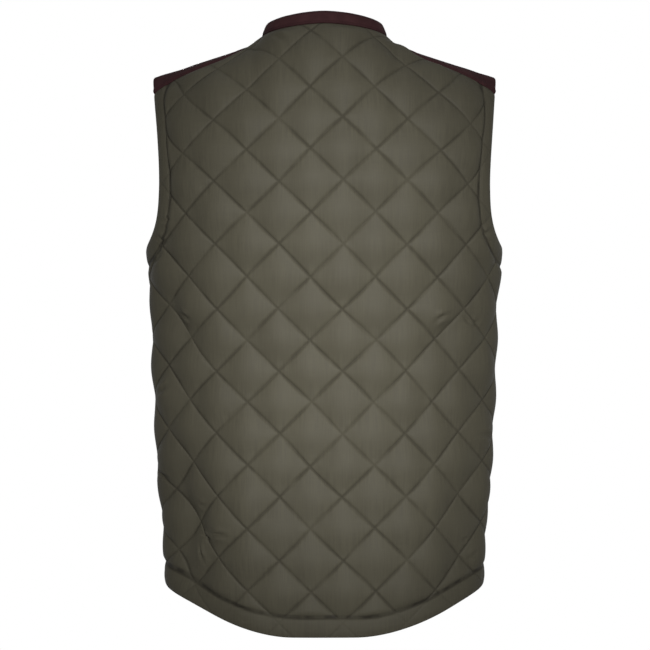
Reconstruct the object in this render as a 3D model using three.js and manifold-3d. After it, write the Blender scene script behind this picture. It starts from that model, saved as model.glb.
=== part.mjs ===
// A quilted vest, worn but with no wearer: the hollow form it keeps on a general figure.
// Millimetres, +Z up. The front faces -Y, the back +Y, and +X is the wearer's left.
// The origin is the middle of the neck opening, level with the points where the shoulders meet the neck.
import * as THREE from "three";
import Module from "manifold-3d";

const wasm = await Module();
wasm.setup();

// The quilting: diamonds sewn in two directions, 51.6 mm apart.
const DIAMOND = { width: 73, height: 72.2, steps: 4 };
const BACK_QUILT = { u: 15.5, v: -283.5 }; // one crossing of the back's stitch lines
const FRONT_QUILT = { u: 20, v: -160 };
const SEWN_THICKNESS = 2; // the wall where a stitch line holds it down
const PUFF = 4; // how far the middle of a diamond stands above its stitch lines
const SEAM_FADE = 14; // the puff rises over this width beside a seam
const TURNED_EDGE = { width: 16, thickness: 3.4 }; // the topstitched hem and armhole edges
const YOKE = { thickness: 2, rows: 8, columns: 9 };
const SEAM_GAP = 0.4;

// The form of the inside of the cloth, a row for each level: half width, and how far the
// back and the front stand from the side seams.
const LEVELS = [
  { z: -700, halfWidth: 186, back: 101, front: 113 },
  { z: -640, halfWidth: 188.5, back: 102, front: 116 },
  { z: -590, halfWidth: 190, back: 102, front: 119 },
  { z: -515, halfWidth: 197, back: 101, front: 123 },
  { z: -440, halfWidth: 200.5, back: 100, front: 126 },
  { z: -370, halfWidth: 203.5, back: 102, front: 129 },
  { z: -320, halfWidth: 204, back: 106, front: 131 },
  { z: -255, halfWidth: 209.5, back: 112, front: 131 },
  { z: -150, halfWidth: 210, back: 116, front: 124 },
  { z: 40, halfWidth: 210, back: 114, front: 114 },
];
const SECTION_POWER = 2.4; // how square the horizontal sections are
const CHEST_Z = -260; // above this the cloth bends in over the shoulders
const BEND_POWER = 3.5;
const SHOULDER = { start: 60, slope: 0.33 }; // the ridge falls from here to the shoulder tip
const NECK_RISE = { height: 50, halfWidth: 75, blend: 4 };

// Openings and edges.
const NECK_HOLE = { halfWidth: 73.5, back: 72, front: 105, power: 2.3 };
const ARMHOLE = {
  z: -180,
  back: { width: 60, below: 70, above: 133 },
  front: { width: 66, below: 70, above: 133 },
  powerBelow: 2.8,
  powerAbove: 1.7,
};
const BACK_HEM = { z: -696, rise: 52, from: 36, to: 250 };
const FRONT_HEM = { z: -656, rise: 12, from: 20, to: 250 };
const BACK_SEAM = { from: 70, to: 124, near: 4, far: 36 }; // behind the ridge, across the shoulder
const FRONT_SEAM = 62; // the yoke's front edge, ahead of the ridge

// The neck band, a strip of the brown cloth folded double.
const BAND = { height: 16.5, thickness: 3, upright: 0.6, endGap: 0.5 };

// The zip down the centre front.
const ZIP = {
  halfGap: 6,
  chainHalfWidth: 2.7,
  chainLow: 0.3,
  chainHigh: 2.5,
  tapeLow: 0.7,
  tapeHigh: 1.6,
  step: 18,
  boxLength: 9,
  boxHalfWidth: 3.6,
};
const SLIDER = { belowTop: 9, length: 11, width: 8.4, thickness: 1.3, axis: 1.9, hole: 1.2, rim: 1 };
const PULL = { length: 25, width: 5.4, thickness: 1.2, bar: 1.2, window: 3.8, windowWidth: 2.8, swell: 1 };

const PROFILE_STEPS = 44;
const STATION = 4; // between two measured curves of the form
const SNAP_SHARE = 0.28; // of a grid step: points nearer an edge than this are moved onto it

const material = (name, color, roughness, metalness) =>
  new THREE.MeshStandardMaterial({ name, color, roughness, metalness });
const OLIVE = material("quilted_cloth", 0x5c5a4c, 0.72, 0);
const BROWN = material("brushed_trim", 0x3c2422, 0.92, 0);
const TAPE = material("zip_tape", 0x3a3a30, 0.9, 0);
const METAL = material("zip_metal", 0x6b5a3c, 0.4, 0.9);

const clamp = (value, low, high) => Math.min(Math.max(value, low), high);
const root = (value, power) => Math.pow(Math.max(value, 0), 1 / power);

function smooth(from, to, value) {
  const share = clamp((value - from) / (to - from), 0, 1);
  return share * share * (3 - 2 * share);
}

// One column of LEVELS at a height, on a smooth curve through the rows.
function level(column, z) {
  const last = LEVELS.length - 1;
  let row = 0;
  while (row < last - 1 && z > LEVELS[row + 1].z) row++;
  const slope = (i) => {
    const below = LEVELS[Math.max(i - 1, 0)];
    const above = LEVELS[Math.min(i + 1, last)];
    return (above[column] - below[column]) / (above.z - below.z);
  };
  const low = LEVELS[row];
  const high = LEVELS[row + 1];
  const span = high.z - low.z;
  const share = clamp((z - low.z) / span, 0, 1);
  const rest = 1 - share;
  return (
    low[column] * rest * rest * (1 + 2 * share) +
    high[column] * share * share * (3 - 2 * share) +
    span * share * rest * (slope(row) * rest - slope(row + 1) * share)
  );
}

// The height of the line along the top of the shoulders and up the neck.
function ridge(x) {
  const away = Math.hypot(x, 20);
  const shoulder = -SHOULDER.slope * (away - SHOULDER.start);
  const neck = NECK_RISE.height * (1 - (x / NECK_RISE.halfWidth) ** 2);
  return (shoulder + neck + Math.hypot(shoulder - neck, NECK_RISE.blend)) / 2;
}

// How far the form stands back or forward of the side seams, before it bends over the shoulder.
function upright(side, x, z) {
  const across = Math.min(Math.abs(x) / level("halfWidth", z), 1);
  return level(side, z) * root(1 - across ** SECTION_POWER, SECTION_POWER);
}

function depth(side, x, z) {
  const climbed = clamp((z - CHEST_Z) / (ridge(x) - CHEST_Z), 0, 1);
  return upright(side, x, z) * Math.sqrt(1 - climbed ** BEND_POWER);
}

// Lengths along a curve, given its two coordinates for each share of a quarter turn.
function measured(curve) {
  const places = [];
  const lengths = [0];
  for (let i = 0; i <= PROFILE_STEPS; i++) {
    places.push(curve((i / PROFILE_STEPS) * (Math.PI / 2)));
    if (!i) continue;
    const [before, here] = [places[i - 1], places[i]];
    lengths.push(lengths[i - 1] + Math.hypot(here[0] - before[0], here[1] - before[1]));
  }
  return { places, lengths, total: lengths[PROFILE_STEPS] };
}

function placeAt({ places, lengths }, length) {
  let low = 0;
  let high = PROFILE_STEPS;
  while (high - low > 1) {
    const middle = (low + high) >> 1;
    if (lengths[middle] <= length) low = middle;
    else high = middle;
  }
  const share = clamp((length - lengths[low]) / (lengths[high] - lengths[low]), 0, 1);
  return places[low][0] + share * (places[high][0] - places[low][0]);
}

// The measured curves at regular stations, and any curve between two of them.
function curves(make) {
  const known = new Map();
  const station = (side, n) => {
    const key = side + n;
    if (!known.has(key)) known.set(key, measured(make(side, n * STATION)));
    return known.get(key);
  };
  return (side, at) => {
    const n = Math.floor(at / STATION);
    const share = at / STATION - n;
    const [near, far] = [station(side, n), station(side, n + 1)];
    const total = near.total + share * (far.total - near.total);
    const place = (length) => {
      const part = length / total;
      return placeAt(near, part * near.total) * (1 - share) + placeAt(far, part * far.total) * share;
    };
    return { total, place };
  };
}

// The way up over the shoulder in the plane of one x, from the chest to the ridge.
const climb = curves((side, x) => (turn) => {
  const z = CHEST_Z + (ridge(x) - CHEST_Z) * Math.pow(Math.sin(turn), 2 / BEND_POWER);
  return [z, depth(side, x, z)];
});

// The way round at one height, from the centre line to the side seam.
const round = curves((side, z) => (turn) => {
  const x = level("halfWidth", z) * Math.pow(Math.sin(turn), 2 / SECTION_POWER);
  return [x, upright(side, x, z)];
});

const formPoint = (side, x, z) => new THREE.Vector3(x, depth(side, x, z) * (side === "back" ? 1 : -1), z);

// Where a point of the flat cloth lies when worn: u is measured from the centre line round the
// body, and v up the body, which is the height below the chest. Past the ridge it goes on down
// the other side.
function worn(side, u, v) {
  const other = side === "back" ? "front" : "back";
  let x = Math.min(Math.abs(u), 200);
  let z = v;
  let over = false;
  for (let i = 0; i < 4; i++) {
    if (v > CHEST_Z) {
      const way = climb(side, x);
      const past = v - CHEST_Z - way.total;
      over = past > 0;
      z = over ? climb(other, x).place(climb(other, x).total - past) : way.place(v - CHEST_Z);
    }
    x = round(side, z).place(Math.abs(u));
  }
  return formPoint(over ? other : side, x * Math.sign(u), z);
}

// The same for the yoke, whose flat cloth is measured from the ridge: w is behind it.
function wornYoke(x, w) {
  const side = w > 0 ? "back" : "front";
  const way = climb(side, Math.abs(x));
  return formPoint(side, x, way.place(way.total - Math.abs(w)));
}

// The edges, each above zero on the cloth that is kept.
function neckEdge(point) {
  const reach = point.y > 0 ? NECK_HOLE.back : NECK_HOLE.front;
  const { halfWidth, power } = NECK_HOLE;
  const share = (Math.abs(point.x) / halfWidth) ** power + (Math.abs(point.y) / reach) ** power;
  return (root(share, NECK_HOLE.power) - 1) * NECK_HOLE.halfWidth;
}

function armholeEdge(point) {
  const { width, below, above } = point.y > 0 ? ARMHOLE.back : ARMHOLE.front;
  const low = point.z < ARMHOLE.z;
  const power = low ? ARMHOLE.powerBelow : ARMHOLE.powerAbove;
  const tall = Math.abs(point.z - ARMHOLE.z) / (low ? below : above);
  return (root((Math.abs(point.y) / width) ** power + tall ** power, power) - 1) * width;
}

const hemHeight = (hem, u) => hem.z + hem.rise * smooth(hem.from, hem.to, Math.abs(u));
const backSetback = (x) => {
  const { from, to, near, far } = BACK_SEAM;
  return near + (far - near) * smooth(from, to, Math.abs(x));
};

// A cut function's slope, so that its value can be read as a distance.
function slopeOf(cut, u, v) {
  const h = 0.5;
  return [(cut(u + h, v) - cut(u - h, v)) / (2 * h), (cut(u, v + h) - cut(u, v - h)) / (2 * h)];
}

function distance(cut, u, v) {
  const [gu, gv] = slopeOf(cut, u, v);
  return cut(u, v) / Math.max(Math.hypot(gu, gv), 0.05);
}

// Moves a point onto one cut line, or onto the crossing of two.
function settle(point, cuts) {
  let { u, v } = point;
  for (let i = 0; i < 6; i++) {
    const [au, av] = slopeOf(cuts[0], u, v);
    const a = cuts[0](u, v);
    if (cuts.length === 1) {
      const size = Math.max(au * au + av * av, 1e-4);
      u -= (a * au) / size;
      v -= (a * av) / size;
    } else {
      const [bu, bv] = slopeOf(cuts[1], u, v);
      const b = cuts[1](u, v);
      const det = au * bv - av * bu;
      if (Math.abs(det) < 1e-3) return null;
      u -= (a * bv - b * av) / det;
      v -= (b * au - a * bu) / det;
    }
  }
  return Number.isFinite(u + v) ? { u, v } : null;
}

// A flat sheet of small triangles that follow the diagonal stitch lines.
function flatSheet(stepU, stepV, origin, box) {
  const first = [Math.floor((box.u[0] - origin.u) / stepU), Math.floor((box.v[0] - origin.v) / stepV)];
  const last = [Math.ceil((box.u[1] - origin.u) / stepU), Math.ceil((box.v[1] - origin.v) / stepV)];
  const points = [];
  const triangles = [];
  const across = last[0] - first[0] + 1;
  const half = DIAMOND.steps / 2;
  for (let j = first[1]; j <= last[1]; j++)
    for (let i = first[0]; i <= last[0]; i++) {
      const at = points.push({ u: origin.u + i * stepU, v: origin.v + j * stepV, on: [] }) - 1;
      if (i === last[0] || j === last[1]) continue;
      const [a, b, c, d] = [at, at + 1, at + across + 1, at + across];
      const rising = (Math.floor(i / half) + Math.floor(j / half)) % 2 === 0;
      triangles.push(...(rising ? [[a, b, c], [a, c, d]] : [[a, b, d], [b, c, d]]));
    }
  return { points, triangles, step: Math.min(stepU, stepV) };
}

// Cuts a flat sheet along the line where a cut function is zero, and keeps what is above
// zero, or both sides where the line is only a crease.
function cutSheet(sheet, cut, crease = false) {
  const { points, triangles, step } = sheet;
  const values = points.map(({ u, v }) => cut(u, v));
  points.forEach((point, i) => {
    if (point.on.length > 1 || Math.abs(distance(cut, point.u, point.v)) > step * SNAP_SHARE) return;
    const moved = settle(point, [cut, ...point.on]);
    if (!moved || Math.hypot(moved.u - point.u, moved.v - point.v) > step * SNAP_SHARE * 2) return;
    Object.assign(point, moved);
    point.on = [...point.on, cut];
    values[i] = 0;
  });
  const crossings = new Map();
  const crossing = (a, b) => {
    const key = a < b ? `${a},${b}` : `${b},${a}`;
    if (!crossings.has(key)) {
      let [low, high] = values[a] < 0 ? [points[a], points[b]] : [points[b], points[a]];
      for (let i = 0; i < 24; i++) {
        const middle = { u: (low.u + high.u) / 2, v: (low.v + high.v) / 2 };
        if (cut(middle.u, middle.v) < 0) low = middle;
        else high = middle;
      }
      const shared = points[a].on.filter((line) => points[b].on.includes(line)).slice(0, 1);
      const place = (shared.length && settle(high, [cut, shared[0]])) || { u: high.u, v: high.v };
      crossings.set(key, points.push({ ...place, on: [cut, ...shared] }) - 1);
      values.push(0);
    }
    return crossings.get(key);
  };
  const kept = [];
  const fan = (loop) => {
    const far = (a, b) => Math.hypot(points[a].u - points[b].u, points[a].v - points[b].v);
    if (loop.length === 3) kept.push(loop);
    else if (far(loop[0], loop[2]) < far(loop[1], loop[3]))
      kept.push([loop[0], loop[1], loop[2]], [loop[0], loop[2], loop[3]]);
    else kept.push([loop[0], loop[1], loop[3]], [loop[1], loop[2], loop[3]]);
  };
  for (const triangle of triangles) {
    const above = triangle.some((i) => values[i] > 0);
    const below = triangle.some((i) => values[i] < 0);
    if (above && below) {
      const [upper, lower] = [[], []];
      triangle.forEach((a, k) => {
        const b = triangle[(k + 1) % 3];
        if (values[a] >= 0) upper.push(a);
        if (values[a] <= 0) lower.push(a);
        if (values[a] * values[b] < 0) {
          const middle = crossing(a, b);
          upper.push(middle);
          lower.push(middle);
        }
      });
      fan(upper);
      if (crease) fan(lower);
    } else if (above || crease) kept.push(triangle);
    else if (!below) {
      const middle = [0, 1, 2].map((k) => points[triangle[k]]);
      const mean = (key) => (middle[0][key] + middle[1][key] + middle[2][key]) / 3;
      if (cut(mean("u"), mean("v")) > 0) kept.push(triangle);
    }
  }
  return { points, triangles: kept, step };
}

function geometryOf(corners, triangles) {
  const geometry = new THREE.BufferGeometry();
  const places = corners.flatMap((p) => [p.x, p.y, p.z]);
  geometry.setAttribute("position", new THREE.Float32BufferAttribute(places, 3));
  geometry.setIndex(triangles.flat());
  return facingOut(geometry);
}

// Turns the faces round if the solid came out inside out.
function facingOut(geometry) {
  const { position } = geometry.attributes;
  const corner = (i) => new THREE.Vector3().fromBufferAttribute(position, i);
  const index = geometry.index.array;
  let volume = 0;
  for (let i = 0; i < index.length; i += 3)
    volume += corner(index[i]).dot(corner(index[i + 1]).cross(corner(index[i + 2])));
  if (volume < 0)
    for (let i = 0; i < index.length; i += 3) [index[i], index[i + 1]] = [index[i + 1], index[i]];
  return geometry;
}

function normalAt(place, u, v) {
  const h = 1;
  const across = place(u + h, v).sub(place(u - h, v));
  const up = place(u, v + h).sub(place(u, v - h));
  const normal = across.cross(up).normalize();
  const point = place(u, v);
  return normal.dot(new THREE.Vector3(point.x, point.y, 60)) < 0 ? normal.negate() : normal;
}

// The wall: the cut sheet twice, plain inside and raised outside, joined along its edges.
function wall(sheet, place, thickness) {
  const used = [...new Set(sheet.triangles.flat())];
  const number = new Map(used.map((old, i) => [old, i]));
  const inner = used.map((i) => place(sheet.points[i].u, sheet.points[i].v));
  const normals = used.map((i) => normalAt(place, sheet.points[i].u, sheet.points[i].v));
  const wall = used.map((i) => thickness(sheet.points[i].u, sheet.points[i].v));
  const outer = inner.map((p, k) => p.clone().addScaledVector(normals[k], wall[k]));
  const count = used.length;
  const faces = [];
  const edges = new Map();
  for (const triangle of sheet.triangles) {
    const [a, b, c] = triangle.map((i) => number.get(i));
    faces.push([a + count, b + count, c + count], [a, c, b]);
    for (const [from, to] of [[a, b], [b, c], [c, a]]) {
      if (edges.has(`${to},${from}`)) edges.delete(`${to},${from}`);
      else edges.set(`${from},${to}`, [from, to]);
    }
  }
  for (const [from, to] of edges.values())
    faces.push([from, to, to + count], [from, to + count, from + count]);
  const rim = used.map((i, k) => {
    return { on: sheet.points[i].on, inner: inner[k], outer: outer[k], normal: normals[k] };
  });
  return { geometry: geometryOf([...inner, ...outer], faces), rim };
}

function quiltPuff(origin, u, v) {
  const a = (u - origin.u) / DIAMOND.width;
  const b = (v - origin.v) / DIAMOND.height;
  const swell = Math.abs(Math.sin(Math.PI * (a + b)) * Math.sin(Math.PI * (a - b)));
  return PUFF * Math.pow(swell, 0.55);
}

// The wall's thickness over a quilted panel: flat at the seams, and doubled at turned edges.
function quiltThickness(origin, seams, turned) {
  return (u, v) => {
    const seam = Math.min(...seams.map((cut) => distance(cut, u, v)));
    const edge = Math.min(...turned.map((cut) => distance(cut, u, v)));
    const fold = clamp(1 - edge / TURNED_EDGE.width, 0, 1) * (TURNED_EDGE.thickness - SEWN_THICKNESS);
    const free = smooth(0, SEAM_FADE, seam) * smooth(0, SEAM_FADE, edge - TURNED_EDGE.width);
    return SEWN_THICKNESS + fold + free * quiltPuff(origin, u, v);
  };
}

// A quilted panel: its flat cloth, cut at its seams and turned edges, creased where it is sewn.
function quiltedPanel(side, origin, box, seams, turned) {
  const place = (u, v) => worn(side, u, v);
  let sheet = flatSheet(DIAMOND.width / DIAMOND.steps, DIAMOND.height / DIAMOND.steps, origin, box);
  for (const cut of [...seams, ...turned]) sheet = cutSheet(sheet, cut);
  for (const cut of turned)
    sheet = cutSheet(sheet, (u, v) => distance(cut, u, v) - TURNED_EDGE.width, true);
  return wall(sheet, place, quiltThickness(origin, seams, turned));
}

const half = SEAM_GAP / 2;
const sideSeam = (side) => (u, v) => round(side, Math.min(v, CHEST_Z)).total - Math.abs(u) - half;
const armhole = (side) => (u, v) => armholeEdge(worn(side, u, v));
const neckline = (side) => (u, v) => neckEdge(worn(side, u, v));
const shoulderSeam = (side, setback) => (u, v) => {
  const x = Math.abs(worn(side, u, v).x);
  return climb(side, x).total - setback(x) - half - (v - CHEST_Z);
};

const necklines = { back: neckline("back"), front: neckline("front") };
const seams = { back: shoulderSeam("back", backSetback), front: shoulderSeam("front", () => FRONT_SEAM) };

const back = quiltedPanel(
  "back",
  BACK_QUILT,
  { u: [-270, 270], v: [-700, 50] },
  [sideSeam("back"), seams.back, necklines.back],
  [(u, v) => v - hemHeight(BACK_HEM, u), armhole("back")],
);

const fronts = [1, -1].map((sign) =>
  quiltedPanel(
    "front",
    { u: FRONT_QUILT.u * sign, v: FRONT_QUILT.v },
    { u: sign > 0 ? [0, 280] : [-280, 0], v: [-670, 20] },
    [
      (u) => u * sign - ZIP.halfGap,
      sideSeam("front"),
      seams.front,
      necklines.front,
    ],
    [(u, v) => v - hemHeight(FRONT_HEM, u), armhole("front")],
  ),
);

// The yoke runs over the shoulder between the other panels, and shares the places of their
// seam points. Its rows run from the neck to the armhole.
const yokeNeck = (x, w) => neckEdge(wornYoke(x, w));
const yokeArm = (x, w) => armholeEdge(wornYoke(x, w));

function yoke(sign) {
  const seamOf = (panel, cut) =>
    panel.rim
      .filter((point) => point.on.includes(cut) && point.inner.x * sign > 0)
      .map((point) => Math.abs(point.inner.x))
      .sort((a, b) => a - b);
  const given = new Map([
    [0, seamOf(back, seams.back)],
    [YOKE.rows, seamOf(fronts[sign > 0 ? 0 : 1], seams.front)],
  ]);
  const points = [];
  const rows = [];
  for (let j = 0; j <= YOKE.rows; j++) {
    const share = j / YOKE.rows;
    const across = (x) => (backSetback(x) - half) * (1 - share) - (FRONT_SEAM - half) * share;
    const edge = (cut, inside, outside) => {
      for (let i = 0; i < 40; i++) {
        const middle = (inside + outside) / 2;
        if (cut(middle, across(middle)) > 0) inside = middle;
        else outside = middle;
      }
      return inside;
    };
    const [near, far] = [edge(yokeNeck, 120, 50), edge(yokeArm, 120, 209)];
    const column = (_, i) => near + ((far - near) * (i + 1)) / YOKE.columns;
    const even = Array.from({ length: YOKE.columns - 1 }, column);
    const between = (given.get(j) ?? even).filter((x) => x > near + 0.3 && x < far - 0.3);
    rows.push(
      [near, ...between, far].map((x, i) => {
        points.push({ u: x * sign, v: across(x), on: i ? [] : [yokeNeck] });
        return { at: points.length - 1, share: (x - near) / (far - near) };
      }),
    );
  }
  const triangles = [];
  for (let j = 0; j < YOKE.rows; j++) {
    const [low, high] = [rows[j], rows[j + 1]];
    let [a, b] = [0, 0];
    while (a < low.length - 1 || b < high.length - 1) {
      const lowIsNext = a < low.length - 1 && low[a + 1]?.share <= high[b + 1]?.share;
      const stepLow = b === high.length - 1 || lowIsNext;
      const third = stepLow ? low[a + 1].at : high[b + 1].at;
      triangles.push([low[a].at, third, high[b].at]);
      if (stepLow) a++;
      else b++;
    }
  }
  return wall({ points, triangles }, wornYoke, () => YOKE.thickness);
}
const yokes = [1, -1].map(yoke);

// Where the neckline crosses the centre front.
const throat = (() => {
  let [low, high] = [-200, 0];
  for (let i = 0; i < 30; i++) {
    const middle = (low + high) / 2;
    if (necklines.front(0.01, middle) > 0) low = middle;
    else high = middle;
  }
  return low;
})();
const zipTop = throat - 1;

// The neck band stands on the points of the neckline, and its ends meet above the zip.
function neckBand() {
  const ends = [1, -1].map((sign) => {
    const inner = worn("front", (BAND.endGap / 2) * sign, throat);
    const normal = normalAt((u, v) => worn("front", u, v), 0.01, throat).setX(0).normalize();
    return { inner, normal, outer: inner.clone().addScaledVector(normal, SEWN_THICKNESS) };
  });
  const edge = (panel, cut) => panel.rim.filter((point) => point.on.includes(cut));
  const around = (point) => Math.atan2(point.inner.x, point.inner.y);
  const all = [
    ...edge(back, necklines.back),
    ...fronts.flatMap((panel) => edge(panel, necklines.front)),
    ...yokes.flatMap((panel) => edge(panel, yokeNeck)),
    ...ends,
  ].sort((a, b) => around(a) - around(b));
  const line = all.filter((point, i) => i === 0 || point.inner.distanceTo(all[i - 1].inner) > 0.8);
  if (line[line.length - 1] !== all[all.length - 1]) line[line.length - 1] = all[all.length - 1];
  const corners = [];
  const faces = [];
  const section = 6;
  line.forEach((point, i) => {
    const before = line[Math.max(i - 1, 0)].inner;
    const after = line[Math.min(i + 1, line.length - 1)].inner;
    const along = after.clone().sub(before).normalize();
    const inward = along.clone().cross(point.normal).normalize();
    if (inward.dot(new THREE.Vector3(point.inner.x, point.inner.y, -40)) > 0) inward.negate();
    const up = inward.clone().add(new THREE.Vector3(0, 0, BAND.upright)).normalize();
    const out = up.clone().cross(along).normalize();
    if (out.dot(point.normal) < 0) out.negate();
    const low = point.inner.clone().addScaledVector(inward, SEAM_GAP);
    const wide = point.outer.clone().addScaledVector(inward, SEAM_GAP);
    const at = (height, thickness) =>
      low.clone().addScaledVector(up, height).addScaledVector(out, thickness);
    const { height, thickness } = BAND;
    const top = [at(height, thickness * 0.72), at(height, thickness * 0.25)];
    corners.push(low, wide, at(height - 2, thickness), ...top, at(height - 2, 0));
    if (i === 0) return;
    for (let k = 0; k < section; k++) {
      const [a, b] = [(i - 1) * section + k, (i - 1) * section + ((k + 1) % section)];
      faces.push([a, b, b + section], [a, b + section, a + section]);
    }
  });
  const cap = (start, order) => {
    for (let k = 1; k < section - 1; k++)
      faces.push(order ? [start, start + k + 1, start + k] : [start, start + k, start + k + 1]);
  };
  cap(0, true);
  cap((line.length - 1) * section, false);
  return geometryOf(corners, faces);
}

const zipFoot = FRONT_HEM.z + 1;

// A bar up the centre front, between two distances across and two heights above the inside.
function centreBar(from, to, low, high, start, end) {
  const count = Math.max(1, Math.ceil((end - start) / ZIP.step));
  const place = (u, v) => worn("front", u, v);
  const corners = [];
  const faces = [];
  for (let i = 0; i <= count; i++) {
    const v = start + ((end - start) * i) / count;
    const normal = normalAt(place, 0.01, v);
    const middle = place(0.01, v).setX(0);
    for (const [u, t] of [[from, low], [to, low], [to, high], [from, high]])
      corners.push(middle.clone().addScaledVector(normal, t).setX(u));
    if (i) for (let k = 0; k < 4; k++) {
      const [a, b] = [(i - 1) * 4 + k, (i - 1) * 4 + ((k + 1) % 4)];
      faces.push([a, b, b + 4], [a, b + 4, a + 4]);
    }
  }
  const end4 = count * 4;
  faces.push([0, 3, 2], [0, 2, 1], [end4, end4 + 1, end4 + 2], [end4, end4 + 2, end4 + 3]);
  return geometryOf(corners, faces);
}

// Where the slider sits, and which way the zip runs there.
const seatHeight = zipTop - SLIDER.belowTop;
const seat = worn("front", 0.01, seatHeight).setX(0);
const seatOut = normalAt((u, v) => worn("front", u, v), 0.01, seatHeight);
const lean = Math.atan2(seatOut.z, -seatOut.y);
const plateLow = ZIP.chainHigh + SEAM_GAP;
const plateHigh = plateLow + SLIDER.thickness;
const axisHeight = plateHigh + SLIDER.axis;

// The slider and pull are drawn lying on their backs, x across, y up the zip, z out of the cloth.
function onZip(geometry) {
  geometry.rotateX(Math.PI / 2 - lean);
  return geometry.translate(seat.x, seat.y, seat.z);
}

function solid(geometry) {
  const flat = geometry.index ? geometry.toNonIndexed() : geometry;
  const { array } = flat.attributes.position;
  const seen = new Map();
  const points = [];
  const triangles = [];
  for (let i = 0; i < array.length; i += 3) {
    const key = [0, 1, 2].map((k) => Math.round(array[i + k] * 1e4)).join();
    if (!seen.has(key)) seen.set(key, points.push([array[i], array[i + 1], array[i + 2]]) - 1);
    triangles.push(seen.get(key));
  }
  return new wasm.Manifold(
    new wasm.Mesh({
      numProp: 3,
      vertProperties: new Float32Array(points.flat()),
      triVerts: new Uint32Array(triangles),
    }),
  );
}

function geometryFrom(manifold) {
  const mesh = manifold.getMesh();
  const geometry = new THREE.BufferGeometry();
  geometry.setAttribute("position", new THREE.BufferAttribute(mesh.vertProperties, 3));
  geometry.setIndex(new THREE.BufferAttribute(mesh.triVerts, 1));
  return geometry;
}

function slider() {
  const { width, length, thickness, hole, rim, axis } = SLIDER;
  const outline = new THREE.Shape([
    new THREE.Vector2(-width / 2, length / 2),
    new THREE.Vector2(-width / 2, length / 6),
    new THREE.Vector2(-width / 3, -length / 2),
    new THREE.Vector2(width / 3, -length / 2),
    new THREE.Vector2(width / 2, length / 6),
    new THREE.Vector2(width / 2, length / 2),
  ]);
  const plate = new THREE.ExtrudeGeometry(outline, { depth: thickness, bevelEnabled: false });
  plate.translate(0, 0, plateLow);
  // The bridge: an arch over the pull's bar, drawn in the plane along the zip.
  const outerRadius = hole + rim;
  const arch = new THREE.Shape();
  arch.moveTo(-outerRadius, -axis - thickness / 2);
  arch.lineTo(outerRadius, -axis - thickness / 2);
  arch.lineTo(outerRadius, 0);
  arch.absarc(0, 0, outerRadius, 0, Math.PI, false);
  const eye = new THREE.Path();
  eye.absarc(0, 0, hole, 0, Math.PI * 2, true);
  arch.holes.push(eye);
  const archWidth = 1.5;
  const bridge = new THREE.ExtrudeGeometry(arch, { depth: archWidth, bevelEnabled: false, curveSegments: 8 })
    .translate(0, 0, -archWidth / 2)
    .rotateY(Math.PI / 2)
    .rotateX(Math.PI / 2)
    .translate(0, 0, axisHeight);
  return onZip(geometryFrom(solid(plate).add(solid(bridge))));
}

function pull() {
  const { length, width, thickness, bar, window, windowWidth, swell } = PULL;
  const outline = new THREE.Shape();
  outline.moveTo(-width / 2 + swell, bar / 2);
  outline.lineTo(-width / 2 + swell / 2, -bar);
  outline.lineTo(-width / 2, -length + width / 2);
  outline.absarc(0, -length + width / 2, width / 2, Math.PI, 2 * Math.PI, false);
  outline.lineTo(width / 2 - swell / 2, -bar);
  outline.lineTo(width / 2 - swell, bar / 2);
  const eye = new THREE.Path([
    new THREE.Vector2(-windowWidth / 2, -bar / 2),
    new THREE.Vector2(-windowWidth / 2, -bar / 2 - window),
    new THREE.Vector2(windowWidth / 2, -bar / 2 - window),
    new THREE.Vector2(windowWidth / 2, -bar / 2),
  ]);
  outline.holes.push(eye);
  const tab = new THREE.ExtrudeGeometry(outline, { depth: thickness, bevelEnabled: false, curveSegments: 8 });
  return onZip(tab.translate(0, 0, axisHeight - thickness / 2));
}

const vest = new THREE.Group();
function add(name, geometry, material) {
  const mesh = new THREE.Mesh(geometry, material);
  mesh.name = name;
  vest.add(mesh);
}

add("back", back.geometry, OLIVE);
add("front_left", fronts[0].geometry, OLIVE);
add("front_right", fronts[1].geometry, OLIVE);
add("yoke_left", yokes[0].geometry, BROWN);
add("yoke_right", yokes[1].geometry, BROWN);
add("neck_band", neckBand(), BROWN);
const { chainHalfWidth: chain, halfGap } = ZIP;
const boxTop = zipFoot + ZIP.boxLength;
const tape = (near, far) => centreBar(near, far, ZIP.tapeLow, ZIP.tapeHigh, boxTop, zipTop);
add("zip_tape_left", tape(chain + SEAM_GAP, halfGap - SEAM_GAP), TAPE);
add("zip_tape_right", tape(-halfGap + SEAM_GAP, -chain - SEAM_GAP), TAPE);
add("zip_chain", centreBar(-chain, chain, ZIP.chainLow, ZIP.chainHigh, boxTop + SEAM_GAP, zipTop), METAL);
const box = ZIP.boxHalfWidth;
add("zip_box", centreBar(-box, box, 0, ZIP.chainHigh + 0.8, zipFoot, boxTop - SEAM_GAP), METAL);
add("zip_slider", slider(), METAL);
add("zip_pull", pull(), METAL);

export default vest;
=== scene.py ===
"""A quilted vest in its worn form: its cloth, stitching, yokes, neck band and zip."""

import math

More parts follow.
